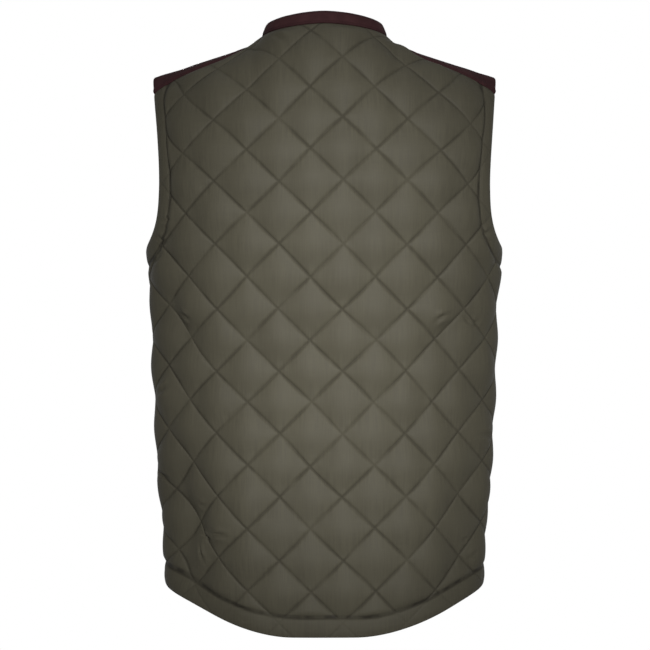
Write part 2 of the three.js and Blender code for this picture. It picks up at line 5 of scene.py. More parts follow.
import bmesh
import bpy
import numpy as np
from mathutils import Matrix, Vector


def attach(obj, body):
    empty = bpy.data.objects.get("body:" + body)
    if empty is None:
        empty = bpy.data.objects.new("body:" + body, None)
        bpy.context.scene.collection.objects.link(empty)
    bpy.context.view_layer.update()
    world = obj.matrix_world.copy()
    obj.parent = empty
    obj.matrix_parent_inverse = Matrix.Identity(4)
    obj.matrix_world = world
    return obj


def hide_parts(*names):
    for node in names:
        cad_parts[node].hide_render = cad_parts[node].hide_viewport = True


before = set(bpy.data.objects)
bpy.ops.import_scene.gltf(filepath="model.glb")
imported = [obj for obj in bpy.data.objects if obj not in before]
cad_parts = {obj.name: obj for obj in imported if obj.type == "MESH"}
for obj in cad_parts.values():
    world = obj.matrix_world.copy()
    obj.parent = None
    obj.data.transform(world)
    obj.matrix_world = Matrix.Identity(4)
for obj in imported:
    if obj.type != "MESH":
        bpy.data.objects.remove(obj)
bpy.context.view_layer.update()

MM = 0.001

# The cut and the form, in millimetres, as in the part's source.
DIAMOND_WIDTH, DIAMOND_HEIGHT = 73.0, 72.2
LINE_SPACING = 1 / math.hypot(1 / DIAMOND_WIDTH, 1 / DIAMOND_HEIGHT)
BACK_QUILT = (15.5, -283.5)
FRONT_QUILT = (20.0, -160.0)
SEWN_THICKNESS = 2.0
PUFF = 4.0
SEAM_FADE = 14.0
TURNED_WIDTH, TURNED_THICKNESS = 21.0, 3.4
YOKE_THICKNESS = 2.0
SEAM_GAP = 0.4
LEVELS = np.array(
    [  # z, half width, back, front
        (-700, 186, 101, 113),
        (-640, 188.5, 102, 116),
        (-590, 190, 102, 119),
        (-515, 197, 101, 123),
        (-440, 200.5, 100, 126),
        (-370, 203.5, 102, 129),
        (-320, 204, 106, 131),
        (-255, 209.5, 112, 131),
        (-150, 210, 116, 124),
        (40, 210, 114, 114),
    ],
    float,
)
HALF_WIDTH, BACK, FRONT = 1, 2, 3
SECTION_POWER = 2.4
CHEST_Z = -260.0
BEND_POWER = 3.5
SHOULDER_START, SHOULDER_SLOPE = 60.0, 0.33
NECK_RISE, NECK_RISE_HALF, NECK_BLEND = 50.0, 75.0, 4.0
NECK_HALF, NECK_BACK, NECK_FRONT, NECK_POWER = 73.5, 72.0, 105.0, 2.3
ARMHOLE_Z, ARMHOLE_BELOW, ARMHOLE_ABOVE = -180.0, 70.0, 133.0
ARMHOLE_BACK, ARMHOLE_FRONT = 60.0, 66.0
ARMHOLE_POWER_BELOW, ARMHOLE_POWER_ABOVE = 2.8, 1.7
BACK_HEM = (-696.0, 52.0, 36.0, 250.0)  # z at the centre, rise, from, to
FRONT_HEM = (-656.0, 12.0, 20.0, 250.0)
SETBACK_FROM, SETBACK_TO, SETBACK_NEAR, SETBACK_FAR = 70.0, 124.0, 4.0, 36.0
FRONT_SEAM = 62.0
BAND_HEIGHT, BAND_UPRIGHT = 16.5, 0.6
ZIP_HALF_GAP = 6.0

STATION = 4.0  # from one measured curve to the next
SHARES = 512  # steps along each of them
WIDEST = 200.0  # no cloth over the chest lies further out
SEAM_OVERLAP = 0.02  # closes the side seams
UNDER_THE_ARM = CHEST_Z + 14  # up to here the side seams are sewn
SIDE_FADE = 44.0  # the swell grows over this width beside a side seam
LINE_WANDER = 1.5  # how far the sewn lines leave their even lattice
THINNEST = 0.9  # the least the padded wall may be
PLACKET_STITCH = 6.5  # from the front edge in to its topstitching


def smooth(low, high, value):
    share = np.clip((value - low) / (high - low), 0, 1)
    return share * share * (3 - 2 * share)


def hump(away, width):
    """1 on a line, fading softly to 0 on both sides of it."""
    return np.exp(-((away / width) ** 2))


def crossing(low, high, under):
    """Where a test stops being true between two values."""
    for _ in range(40):
        middle = (low + high) / 2
        true = under(middle)
        low, high = np.where(true, middle, low), np.where(true, high, middle)
    return low


def level(column, z):
    """One column of LEVELS at each height, on a smooth curve through the rows."""
    heights, values = LEVELS[:, 0], LEVELS[:, column]
    z = np.clip(z, heights[0], heights[-1])
    slopes = np.empty(len(heights))
    slopes[1:-1] = (values[2:] - values[:-2]) / (heights[2:] - heights[:-2])
    slopes[0] = (values[1] - values[0]) / (heights[1] - heights[0])
    slopes[-1] = (values[-1] - values[-2]) / (heights[-1] - heights[-2])
    row = np.clip(np.searchsorted(heights, z, side="left") - 1, 0, len(heights) - 2)
    span = heights[row + 1] - heights[row]
    share = (z - heights[row]) / span
    rest = 1 - share
    return (
        values[row] * rest * rest * (1 + 2 * share)
        + values[row + 1] * share * share * (3 - 2 * share)
        + span * share * rest * (slopes[row] * rest - slopes[row + 1] * share)
    )


def ridge(x):
    """The height of the line along the top of the shoulders and up the neck."""
    shoulder = -SHOULDER_SLOPE * (np.hypot(x, 20) - SHOULDER_START)
    neck = NECK_RISE * (1 - (x / NECK_RISE_HALF) ** 2)
    return (shoulder + neck + np.hypot(shoulder - neck, NECK_BLEND)) / 2


def upright(side, x, z):
    """How far the cloth stands from the middle, front or back, where the body is upright."""
    across = np.minimum(np.abs(x) / level(HALF_WIDTH, z), 1)
    return level(side, z) * (1 - across**SECTION_POWER) ** (1 / SECTION_POWER)


def depth(side, x, z):
    """The same with the bend in over the shoulders."""
    climbed = np.clip((z - CHEST_Z) / (ridge(x) - CHEST_Z), 0, 1)
    return upright(side, x, z) * np.sqrt(1 - climbed**BEND_POWER)


class Curves:
    """Measured curves at regular stations, and any curve between two of them."""

    def __init__(self, low, high, curve):
        turn = np.linspace(0, math.pi / 2, 89)
        self.low = low
        self.totals, self.places = [], []
        for at in np.arange(low, high + STATION, STATION):
            place, away = curve(at, turn)
            lengths = np.concatenate([[0], np.cumsum(np.hypot(np.diff(place), np.diff(away)))])
            self.totals.append(lengths[-1])
            share = (place - place[0]) / (place[-1] - place[0])
            self.places.append(np.interp(np.linspace(0, lengths[-1], SHARES + 1), lengths, share))
        self.totals, self.places = np.array(self.totals), np.array(self.places)

    def between(self, at):
        row = (at - self.low) / STATION
        low = np.clip(np.floor(row).astype(int), 0, len(self.totals) - 2)
        return low, np.clip(row - low, 0, 1)

    def total(self, at):
        low, share = self.between(at)
        return self.totals[low] * (1 - share) + self.totals[low + 1] * share

    def reached(self, at, length):
        """The share of the curve's whole reach that this length along it comes to."""
        low, share = self.between(at)
        part = np.clip(length / self.total(at), 0, 1) * SHARES
        left = np.minimum(part.astype(int), SHARES - 1)
        near = part - left
        table = self.places
        one = table[low, left] * (1 - near) + table[low, left + 1] * near
        two = table[low + 1, left] * (1 - near) + table[low + 1, left + 1] * near
        return one * (1 - share) + two * share


def climb_curve(side):
    def curve(x, turn):
        z = CHEST_Z + (ridge(x) - CHEST_Z) * np.sin(turn) ** (2 / BEND_POWER)
        return z, depth(side, np.full_like(z, x), z)

    return Curves(0, 240, curve)


def round_curve(side):
    def curve(z, turn):
        x = level(HALF_WIDTH, z) * np.sin(turn) ** (2 / SECTION_POWER)
        return x, upright(side, x, np.full_like(x, z))

    return Curves(-712, 60, curve)


CLIMB = {side: climb_curve(side) for side in (BACK, FRONT)}
ROUND = {side: round_curve(side) for side in (BACK, FRONT)}


def form_point(side, x, z, over=None):
    """Points of the inside of the cloth; those past the ridge are on the other side."""
    y = depth(side, x, z) * (1 if side == BACK else -1)
    if over is not None:
        other = FRONT if side == BACK else BACK
        y = np.where(over, depth(other, x, z) * (1 if other == BACK else -1), y)
    return np.stack([x, y, z], axis=-1)


def worn(side, u, v):
    """Where points of the flat cloth lie when worn: u round from the centre, v up."""
    u, v = np.broadcast_arrays(np.asarray(u, float), np.asarray(v, float))
    other = FRONT if side == BACK else BACK
    x = np.minimum(np.abs(u), WIDEST)
    z, over = v, np.zeros(v.shape, bool)
    for _ in range(4):
        total = CLIMB[side].total(x)
        past = v - CHEST_Z - total
        over = past > 0
        up = CLIMB[side].reached(x, v - CHEST_Z)
        down = CLIMB[other].reached(x, CLIMB[other].total(x) - past)
        z = np.where(v > CHEST_Z, CHEST_Z + np.where(over, down, up) * (ridge(x) - CHEST_Z), v)
        x = ROUND[side].reached(z, np.abs(u)) * level(HALF_WIDTH, z)
    return form_point(side, x * np.sign(u), z, over)


def worn_yoke(x, w):
    """The same for a yoke, whose flat cloth is measured from the ridge: w is behind it."""
    x, w = np.broadcast_arrays(np.asarray(x, float), np.asarray(w, float))
    places = []
    for side, sign in ((BACK, 1), (FRONT, -1)):
        share = CLIMB[side].reached(np.abs(x), CLIMB[side].total(np.abs(x)) - np.abs(w))
        z = CHEST_Z + share * (ridge(x) - CHEST_Z)
        places.append(form_point(side, x, z))
    return np.where((w > 0)[..., None], *places)


# The edges, each above zero on the cloth that is kept.
def neck_edge(p):
    reach = np.where(p[..., 1] > 0, NECK_BACK, NECK_FRONT)
    share = (np.abs(p[..., 0]) / NECK_HALF) ** NECK_POWER + (np.abs(p[..., 1]) / reach) ** NECK_POWER
    return (share ** (1 / NECK_POWER) - 1) * NECK_HALF


def armhole_edge(p):
    width = np.where(p[..., 1] > 0, ARMHOLE_BACK, ARMHOLE_FRONT)
    low = p[..., 2] < ARMHOLE_Z
    power = np.where(low, ARMHOLE_POWER_BELOW, ARMHOLE_POWER_ABOVE)
    tall = np.abs(p[..., 2] - ARMHOLE_Z) / np.where(low, ARMHOLE_BELOW, ARMHOLE_ABOVE)
    return (((np.abs(p[..., 1]) / width) ** power + tall**power) ** (1 / power) - 1) * width


def hem_height(hem, u):
    z, rise, start, end = hem
    return z + rise * smooth(start, end, np.abs(u))


def back_setback(x):
    return SETBACK_NEAR + (SETBACK_FAR - SETBACK_NEAR) * smooth(SETBACK_FROM, SETBACK_TO, np.abs(x))


HALF_GAP = SEAM_GAP / 2


def side_seam(side):
    return lambda u, v: ROUND[side].total(np.minimum(v, UNDER_THE_ARM)) - np.abs(u) + SEAM_OVERLAP


def edge_of(side, edge):
    return lambda u, v: edge(worn(side, u, v))


def shoulder_seam(side, setback):
    def cut(u, v):
        x = np.abs(worn(side, u, v)[..., 0])
        return CLIMB[side].total(x) - setback(x) - HALF_GAP - (v - CHEST_Z)

    return cut


def slope_of(cut, u, v, h=0.5):
    return (cut(u + h, v) - cut(u - h, v)) / (2 * h), (cut(u, v + h) - cut(u, v - h)) / (2 * h)


def distance(cut, u, v):
    gu, gv = slope_of(cut, u, v)
    return cut(u, v) / np.maximum(np.hypot(gu, gv), 0.05)


def nearest(cuts, u, v):
    """How far points are from the nearest of some cut lines."""
    return np.min([distance(cut, u, v) for cut in cuts], axis=0)


def settle(u, v, first, second=None):
    """Moves points onto one cut line, or onto the crossing of two."""
    u, v = u.copy(), v.copy()
    for _ in range(6):
        au, av = slope_of(first, u, v)
        a = first(u, v)
        if second is None:
            size = np.maximum(au * au + av * av, 1e-4)
            u -= a * au / size
            v -= a * av / size
        else:
            bu, bv = slope_of(second, u, v)
            b = second(u, v)
            det = au * bv - av * bu
            det = np.where(np.abs(det) < 1e-3, 1e9, det)
            u -= (a * bv - b * av) / det
            v -= (b * au - a * bu) / det
    return u, v


class FlatSheet:
    """A flat sheet of small triangles that follow the diagonal stitch lines."""

    SNAP = 0.28

    def __init__(self, cell, half, origin, u_range, v_range):
        du, dv = cell
        self.step = min(du, dv)
        i = np.arange(math.floor((u_range[0] - origin[0]) / du), math.ceil((u_range[1] - origin[0]) / du) + 1)
        j = np.arange(math.floor((v_range[0] - origin[1]) / dv), math.ceil((v_range[1] - origin[1]) / dv) + 1)
        self.u = np.tile(origin[0] + i * du, len(j))
        self.v = np.repeat(origin[1] + j * dv, len(i))
        self.on = np.full((len(self.u), 2), -1)
        self.cuts = []
        jj, ii = np.meshgrid(np.arange(len(j) - 1), np.arange(len(i) - 1), indexing="ij")
        a = (jj * len(i) + ii).ravel()
        b, c, d = a + 1, a + len(i) + 1, a + len(i)
        rising = ((i[ii.ravel()] // half + j[jj.ravel()] // half) % 2 == 0)[:, None]
        first = np.where(rising, np.stack([a, b, c], 1), np.stack([a, b, d], 1))
        second = np.where(rising, np.stack([a, c, d], 1), np.stack([b, c, d], 1))
        self.triangles = np.concatenate([first, second])

    def cut(self, cut, crease=False):
        """Cuts along the line where cut is zero and keeps what is above it, or both sides."""
        me = len(self.cuts)
        self.cuts.append(cut)
        values = cut(self.u, self.v)
        near = (np.abs(distance(cut, self.u, self.v)) <= self.step * self.SNAP) & (self.on[:, 1] < 0)
        for line in [-1, *range(me)]:
            which = np.flatnonzero(near & (self.on[:, 0] == line))
            if not len(which):
                continue
            u, v = settle(self.u[which], self.v[which], cut, None if line < 0 else self.cuts[line])
            moved = np.hypot(u - self.u[which], v - self.v[which])
            fine = np.isfinite(moved) & (moved <= self.step * self.SNAP * 2)
            which, u, v = which[fine], u[fine], v[fine]
            self.u[which], self.v[which] = u, v
            self.on[which, 0 if line < 0 else 1] = me
            values[which] = 0
        corner = values[self.triangles]
        above, below = (corner > 0).any(axis=1), (corner < 0).any(axis=1)
        split = self.triangles[above & below]
        edges = np.concatenate([split[:, [0, 1]], split[:, [1, 2]], split[:, [2, 0]]])
        edges = np.unique(np.sort(edges[values[edges[:, 0]] * values[edges[:, 1]] < 0], axis=1), axis=0)
        swap = values[edges[:, 0]] > 0
        low = np.where(swap, edges[:, 1], edges[:, 0])
        high = np.where(swap, edges[:, 0], edges[:, 1])
        lu, lv, hu, hv = self.u[low], self.v[low], self.u[high], self.v[high]
        for _ in range(22):
            mu, mv = (lu + hu) / 2, (lv + hv) / 2
            under = cut(mu, mv) < 0
            lu, lv = np.where(under, mu, lu), np.where(under, mv, lv)
            hu, hv = np.where(under, hu, mu), np.where(under, hv, mv)
        shared = np.full(len(edges), -1)
        for k in (0, 1):
            for m in (0, 1):
                match = (self.on[low, k] >= 0) & (self.on[low, k] == self.on[high, m])
                shared = np.where(match & (shared < 0), self.on[low, k], shared)
        for line in range(me):
            which = shared == line
            if which.any():
                hu[which], hv[which] = settle(hu[which], hv[which], cut, self.cuts[line])
        start = len(self.u)
        number = {(int(a), int(b)): start + n for n, (a, b) in enumerate(edges)}
        self.u, self.v = np.concatenate([self.u, hu]), np.concatenate([self.v, hv])
        self.on = np.concatenate([self.on, np.stack([np.full(len(edges), me), shared], 1)])
        kept = self.triangles[~(above & below)]
        inside = (above | crease)[~(above & below)]
        flat = ~(above | below)[~(above & below)] & ~inside
        if flat.any():
            middle = cut(self.u[kept[flat]].mean(axis=1), self.v[kept[flat]].mean(axis=1)) > 0
            inside[np.flatnonzero(flat)[middle]] = True
        parts = []
        for triangle in split.tolist():
            upper, lower = [], []
            for a, b in zip(triangle, triangle[1:] + triangle[:1]):
                if values[a] >= 0:
                    upper.append(a)
                if values[a] <= 0:
                    lower.append(a)
                if values[a] * values[b] < 0:
                    middle = number[min(a, b), max(a, b)]
                    upper.append(middle)
                    lower.append(middle)
            for loop in (upper, lower) if crease else (upper,):
                parts.extend(self.fan(loop))
        self.triangles = np.concatenate([kept[inside], np.array(parts, int).reshape(-1, 3)])

    def fan(self, loop):
        if len(loop) == 3:
            return [loop]
        a, b, c, d = loop
        if math.hypot(self.u[a] - self.u[c], self.v[a] - self.v[c]) < math.hypot(
            self.u[b] - self.u[d], self.v[b] - self.v[d]
        ):
            return [[a, b, c], [a, c, d]]
        return [[a, b, d], [b, c, d]]

    def tidy(self):
        """Numbers the used points in a row."""
        used, places = np.unique(self.triangles, return_inverse=True)
        self.triangles = places.reshape(-1, 3)
        self.u, self.v, self.on = self.u[used], self.v[used], self.on[used]
        return self


def normals_at(place, u, v, h=1.0):
    across = place(u + h, v) - place(u - h, v)
    up = place(u, v + h) - place(u, v - h)
    normal = np.cross(across, up)
    normal /= np.maximum(np.linalg.norm(normal, axis=-1, keepdims=True), 1e-9)
    point = place(u, v)
    outwards = normal[..., 0] * point[..., 0] + normal[..., 1] * point[..., 1] + normal[..., 2] * 60
    return np.where((outwards < 0)[..., None], -normal, normal)


def soft_noise(seed, x, y):
    """Smooth noise from -1 to 1, about one wave to a unit."""
    table = np.random.default_rng(seed).uniform(-1, 1, (64, 64))
    xi, yi = np.floor(x), np.floor(y)
    fx, fy = x - xi, y - yi
    fx, fy = fx * fx * (3 - 2 * fx), fy * fy * (3 - 2 * fy)
    xi, yi = xi.astype(int) % 64, yi.astype(int) % 64
    xj, yj = (xi + 1) % 64, (yi + 1) % 64
    low = table[xi, yi] * (1 - fx) + table[xj, yi] * fx
    high = table[xi, yj] * (1 - fx) + table[xj, yj] * fx
    return low * (1 - fy) + high * fy


def crease(u, v, at, turn, reach, width, sink, bow=0.0):
    """A soft trough with a low ridge beside it: its middle, angle, half length,
    half width, depth and how far its ends bend up."""
    c, s = math.cos(math.radians(turn)), math.sin(math.radians(turn))
    along = (u - at[0]) * c + (v - at[1]) * s
    away = -(u - at[0]) * s + (v - at[1]) * c - bow * (along / reach) ** 2
    fade = np.exp(-((along / reach) ** 2) * 1.6)
    bank = 0.7 * hump(away - 1.9 * width, 1.3 * width) + 0.4 * hump(away + 2.1 * width, 1.4 * width)
    return sink * fade * (bank - hump(away, width))


BACK_CREASES = [  # middle, angle, half length, half width, depth, how far the ends bend up
    ((121, -580), -5, 11, 2.3, 3.5, -4),
    ((147, -587), 3, 10, 2.2, 3.1, -2),
    ((150, -550), 4, 6, 2.0, 2.7, 1),
    ((154, -609), 60, 13, 2.2, 2.6, 2),
    ((189, -218), -2, 6, 2.0, 2.9, 0),
    ((199, -241), 35, 8, 2.2, 3.2, 1),
    ((207, -262), -40, 10, 2.4, 2.9, 1),
    ((50, -2), 45, 8, 3.0, 2.9, 0),
    ((-134, -328), -25, 12, 2.4, 3.1, -4),
    ((-172, -333), 42, 8, 2.2, 2.7, 1),
    ((-186, -338), -53, 8, 2.2, 2.6, 1),
    ((-186, -611), -30, 7, 2.2, 2.3, 1),
    ((-176, -590), -8, 5, 2.2, 1.8, 1),
    ((168, -331), 8, 8, 2.4, 2.6, -2),
    ((205, -420), -24, 14, 2.8, 2.3, 3),
    ((-208, -470), 18, 14, 2.8, 2.2, -3),
    ((214, -520), 12, 12, 2.6, 2.3, -3),
    ((-199, -232), -36, 8, 2.2, 2.6, 1),
    ((96, -665), 10, 9, 2.2, 1.6, -2),
]
FRONT_CREASES = [
    ((176, -330), 10, 14, 2.8, 2.7, 5),
    ((150, -302), -18, 12, 2.4, 2.2, -3),
    ((196, -420), -14, 14, 2.8, 2.3, 4),
    ((160, -560), 8, 12, 2.4, 2.9, -4),
    ((188, -590), -10, 11, 2.4, 2.6, 3),
    ((92, -470), -28, 12, 2.6, 1.8, 3),
    ((70, -250), 24, 12, 2.6, 1.6, -3),
    ((196, -236), -36, 8, 2.2, 2.9, 1),
    ((120, -625), 6, 9, 2.2, 2.0, -2),
]
BACK_FOLDS = [  # broad soft folds of the whole wall
    ((160, -580), 80, 120, 34, 11.0, 8),
    ((-164, -570), -82, 120, 32, 6.0, -8),
    ((178, -330), 84, 90, 26, 3.5, 4),
    ((95, -610), 60, 60, 22, 1.6, 5),
    ((165, -345), 20, 55, 17, 1.8, -5),
    ((-150, -350), -24, 55, 17, 1.9, 5),
    ((30, -430), 88, 150, 40, 1.0, 10),
    ((-60, -180), -70, 90, 34, 0.9, 6),
]
BACK_PULLS = [  # where the sewn lines are drawn aside: middle, how far it spreads, how much
    ((186, -580), (42, 84), (-15, 5)),
    ((196, -370), (40, 90), (-8, 5)),
    ((-165, -450), (58, 105), (9, 1)),
    ((165, -100), (55, 80), (8, -3)),
    ((-165, -100), (55, 80), (-6, -3)),
]
FRONT_PULLS = [((176, -540), (44, 120), (-9, 4))]
FRONT_FOLDS = [
    ((150, -520), 84, 130, 30, 4.5, 8),
    ((90, -590), -70, 80, 24, 1.8, 6),
    ((165, -345), 22, 55, 17, 1.8, -5),
    ((60, -300), 74, 90, 28, 1.2, 8),
]


def sway(folds, seams, seed, mirror):
    """How far the whole wall stands out from the plain form, over its open middle."""

    def swing(u, v):
        seam = nearest(seams, u, v)
        wave = 1.3 * soft_noise(seed, u / 80, v / 120) + sum(crease(u * mirror, v, *row) for row in folds)
        return wave * smooth(4, 45, seam)

    return swing


def drift(edges, pulls, seed, mirror):
    """How far the sewn lines wander from their even lattice, sideways and up."""

    def wander(u, v):
        edge = nearest(edges, u, v)
        aside = LINE_WANDER * soft_noise(seed, u / 62, v / 62)
        up = LINE_WANDER * soft_noise(seed + 1, u / 62, v / 62)
        for at, reach, pull in pulls:
            share = hump(u * mirror - at[0], reach[0]) * hump(v - at[1], reach[1])
            aside, up = aside + pull[0] * mirror * share, up + pull[1] * share
        return aside * smooth(3, 36, edge), up * smooth(3, 36, edge)

    return wander


def turned_wall(edge, plain, crown):
    """The plain wall and the thicker, crowned fold along its turned edges."""
    share = np.clip(edge / TURNED_WIDTH, 0, 1)
    return plain + (1 - share) * (TURNED_THICKNESS - plain) + crown * np.sin(math.pi * share)


def quilted_thickness(side, quilt, seams, turned, creases, seed, u, v, mirror=1):
    """The wall over a quilted panel: sewn flat on its lines, puffed between them."""
    p, q = (u - quilt[0]) / DIAMOND_WIDTH, (v - quilt[1]) / DIAMOND_HEIGHT
    lines = (p + q, p - q)
    seam = nearest(seams, u, v)
    edge = nearest(turned, u, v)
    sunk = 0.7 * hump(seam, 1.6) + 0.9 * hump(edge - TURNED_WIDTH - 0.8, 2.2)
    # How far the padding is free to swell: little at seams, in turned edges and by the side seams.
    free = smooth(0, SEAM_FADE, seam) * smooth(0, 5, edge) * (0.22 + 0.78 * smooth(0, 9, edge - TURNED_WIDTH))
    free = free * (0.4 + 0.6 * smooth(0, SIDE_FADE, distance(side_seam(side), u, v)))
    swell = np.abs(np.sin(math.pi * lines[0]) * np.sin(math.pi * lines[1]))
    uneven = np.random.default_rng(seed).uniform(0.86, 1.14, (64, 64))
    cell = uneven[np.floor(lines[0]).astype(int) % 64, np.floor(lines[1]).astype(int) % 64]
    puff = PUFF * (0.5 * swell**0.42 + 0.88 * swell**1.05) * cell
    pucker = 0  # small gathers across the sewn lines
    for k in (0, 1):
        row = np.round(lines[k])
        away = np.abs(lines[k] - row) * LINE_SPACING
        along = lines[1 - k] * LINE_SPACING
        gather = hump(away - 3.5, 4.5) * (1 - hump(away, 1.2))
        pucker = pucker + 0.42 * gather * soft_noise(seed + k + 1, along / 6.5, row * 3.7)
    ripple = 0.45 * soft_noise(seed + 5, (u + v * 0.2) / 9, v / 26) * hump(edge - TURNED_WIDTH, 7)
    wave = 0.8 * soft_noise(seed + 7, u / 30, v / 42)
    folds = sum(crease(u * mirror, v, *row) for row in creases)
    inset = smooth(0, 10, seam) * smooth(0, 10, edge)
    wall = turned_wall(edge, SEWN_THICKNESS, 0.8) - sunk + free * (puff + pucker)
    return np.maximum(wall + ripple + inset * (wave * free + folds), THINNEST)


def finished(name, mesh, flat, edge_distance, materials):
    """The piece of a mesh, with its flat cloth as UV map and how far its points are from an edge."""
    corner = np.empty(len(mesh.loops), np.int32)
    mesh.loops.foreach_get("vertex_index", corner)
    mesh.uv_layers.new(name="cloth").data.foreach_set("uv", (flat[corner] * MM).ravel())
    if edge_distance is not None:
        mesh.attributes.new("edge_distance", "FLOAT", "POINT").data.foreach_set("value", edge_distance)
    mesh.shade_smooth()
    for material in materials:
        mesh.materials.append(material)
    piece = bpy.data.objects.new(name, mesh)
    bpy.context.scene.collection.objects.link(piece)
    return piece


def shell(name, sheet, place, thickness, round_edges, edge_distance, materials):
    """The wall of a sheet: plain inside, raised outside, with rounded free edges."""
    sheet.tidy()
    u, v = sheet.u, sheet.v
    inner = place(u, v)
    normal = normals_at(place, u, v)
    outer = inner + normal * thickness[:, None]
    count = len(u)
    triangles = sheet.triangles
    a, b, c = (inner[triangles[:, k]] for k in range(3))
    if np.einsum("ij,ij->", np.cross(b - a, c - a), normal[triangles[:, 0]]) < 0:
        triangles = triangles[:, ::-1]
    directed = {}
    for x, y, z in triangles.tolist():
        for pair in ((x, y), (y, z), (z, x)):
            directed[pair] = True
    border = {x: y for (x, y) in directed if (y, x) not in directed}
    before = {y: x for x, y in border.items()}
    rim = np.array(sorted(border))
    ahead = np.array([border[int(k)] for k in rim])
    behind = np.array([before[int(k)] for k in rim])
    along = inner[ahead] - inner[behind]
    along /= np.maximum(np.linalg.norm(along, axis=1, keepdims=True), 1e-9)
    outwards = np.cross(along, normal[rim])
    bulge = np.where(round_edges(sheet, rim), 0.42, 0.03)[:, None] * thickness[rim][:, None]
    turns = (math.pi * 0.22, math.pi * 0.5, math.pi * 0.78)
    rings = [
        inner[rim] + (outer[rim] - inner[rim]) * (1 - math.cos(t)) / 2 + outwards * bulge * math.sin(t) for t in turns
    ]
    points = np.concatenate([outer, inner, *rings])
    at = {int(k): n for n, k in enumerate(rim)}
    ring = lambda k, n: (n + count) if k == 0 else (n if k == 4 else 2 * count + (k - 1) * len(rim) + at[n])
    faces = triangles.tolist() + (triangles[:, ::-1] + count).tolist()
    for x, y in border.items():
        for k in range(4):
            faces.append([ring(k, x), ring(k, y), ring(k + 1, y), ring(k + 1, x)])
    mesh = bpy.data.meshes.new(name)
    mesh.from_pydata((points * MM).tolist(), [], faces)
    source = np.concatenate([np.arange(count), np.arange(count), *[rim] * 3])
    inside = np.zeros(len(mesh.polygons), np.int32)
    inside[len(triangles) : 2 * len(triangles)] = 1
    mesh.polygons.foreach_set("material_index", inside)
    return finished(name, mesh, np.stack([u[source], v[source]], 1), edge_distance[source], materials)


# Materials
class Value:
    """A shader socket that takes part in sums."""

    def __init__(self, shader, socket):
        self.shader, self.socket = shader, socket

    def maths(self, operation, *others):
        return self.shader.add("ShaderNodeMath", {"operation": operation}, [self, *others])

    def __add__(self, other):
        return self.maths("ADD", other)

    def __mul__(self, other):
        return self.maths("MULTIPLY", other)

    def __sub__(self, other):
        return self.maths("SUBTRACT", other)

    def __truediv__(self, other):
        return self.maths("DIVIDE", other)

    def __pow__(self, other):
        return self.maths("POWER", other)

    def __rsub__(self, other):
        return self.shader.add("ShaderNodeMath", {"operation": "SUBTRACT"}, [other, self])

    __radd__, __rmul__ = __add__, __mul__

    def absolute(self):
        return self.maths("ABSOLUTE")

    def fraction(self):
        return self.maths("FRACT")

    def sine(self):
        return self.maths("SINE")

    def most(self, other):
        return self.maths("MAXIMUM", other)

    def below(self, limit, softness):
        """1 under the limit and 0 over it."""
        settings = {"interpolation_type": "SMOOTHSTEP"}
        values = {"Value": self, "From Min": limit - softness, "From Max": limit + softness}
        return self.shader.add("ShaderNodeMapRange", settings, values | {"To Min": 1.0, "To Max": 0.0})


class Nodes:
    """The nodes of a material or of the sky."""

    def __init__(self, owner):
        owner.use_nodes = True
        self.tree = owner.node_tree

    def add(self, kind, settings=None, values=None, out=0):
        node = self.tree.nodes.new(kind)
        for key, value in (settings or {}).items():
            setattr(node, key, value)
        for key, value in values.items() if isinstance(values, dict) else enumerate(values or []):
            self.feed(node.inputs[key], value)
        return Value(self, node.outputs[out])

    def feed(self, socket, value):
        if isinstance(value, Value):
            self.tree.links.new(value.socket, socket)
        else:
            socket.default_value = value

    def blend(self, share, first, second):
        """Between two colours."""
        node = self.tree.nodes.new("ShaderNodeMix")
        node.data_type = "RGBA"
        for key, value in ((0, share), (6, first), (7, second)):
            self.feed(node.inputs[key], value)
        return Value(self, node.outputs[2])

    def noise(self, place, scale, detail=2.0, roughness=0.5):
        return self.add(
            "ShaderNodeTexNoise", {}, {"Vector": place, "Scale": scale, "Detail": detail, "Roughness": roughness}
        )

    def parts(self, place):
        """The three numbers of a place or a vector."""
        node = self.tree.nodes.new("ShaderNodeSeparateXYZ")
        self.feed(node.inputs[0], place)
        return [Value(self, socket) for socket in node.outputs]

    def stretched(self, place, across, up, depth=1.0):
        return self.add("ShaderNodeMapping", {}, {"Vector": place, "Scale": (across, up, depth)})

    def bump(self, height, strength, reach, under=None):
        values = {"Height": height, "Strength": strength, "Distance": reach}
        if under is not None:
            values["Normal"] = under
        return self.add("ShaderNodeBump", {}, values)


class Shader(Nodes):
    """A material and its nodes."""

    def __init__(self, name, **constants):
        self.material = bpy.data.materials.new(name)
        super().__init__(self.material)
        self.surface = self.tree.nodes["Principled BSDF"]
        for socket, value in constants.items():
            self.surface.inputs[socket.replace("_", " ").title().replace("Ior", "IOR")].default_value = value

    def set(self, **links):
        for key, value in links.items():
            self.feed(self.surface.inputs[key.replace("_", " ").title()], value)
        return self.material


def colour(red, green, blue):
    """A screen colour from 0 to 255 as the light it stands for."""
    shares = [part / 255 for part in (red, green, blue)]
    return (*(s / 12.92 if s <= 0.04045 else ((s + 0.055) / 1.055) ** 2.4 for s in shares), 1.0)


STITCH = 3.2  # millimetres from one stitch to the next


def stitches(away, along, width=0.4):
    """A sewn line: how much thread shows, and how deep it pulls the cloth in; that depth also masks shade painted
    along the line.
    """
    dash = ((along / STITCH).fraction() - 0.5).absolute().below(0.36, 0.06)
    thread = away.absolute().below(width, 0.15) * dash
    groove_and_shade = away.absolute().below(1.0, 0.8)
    return thread, groove_and_shade


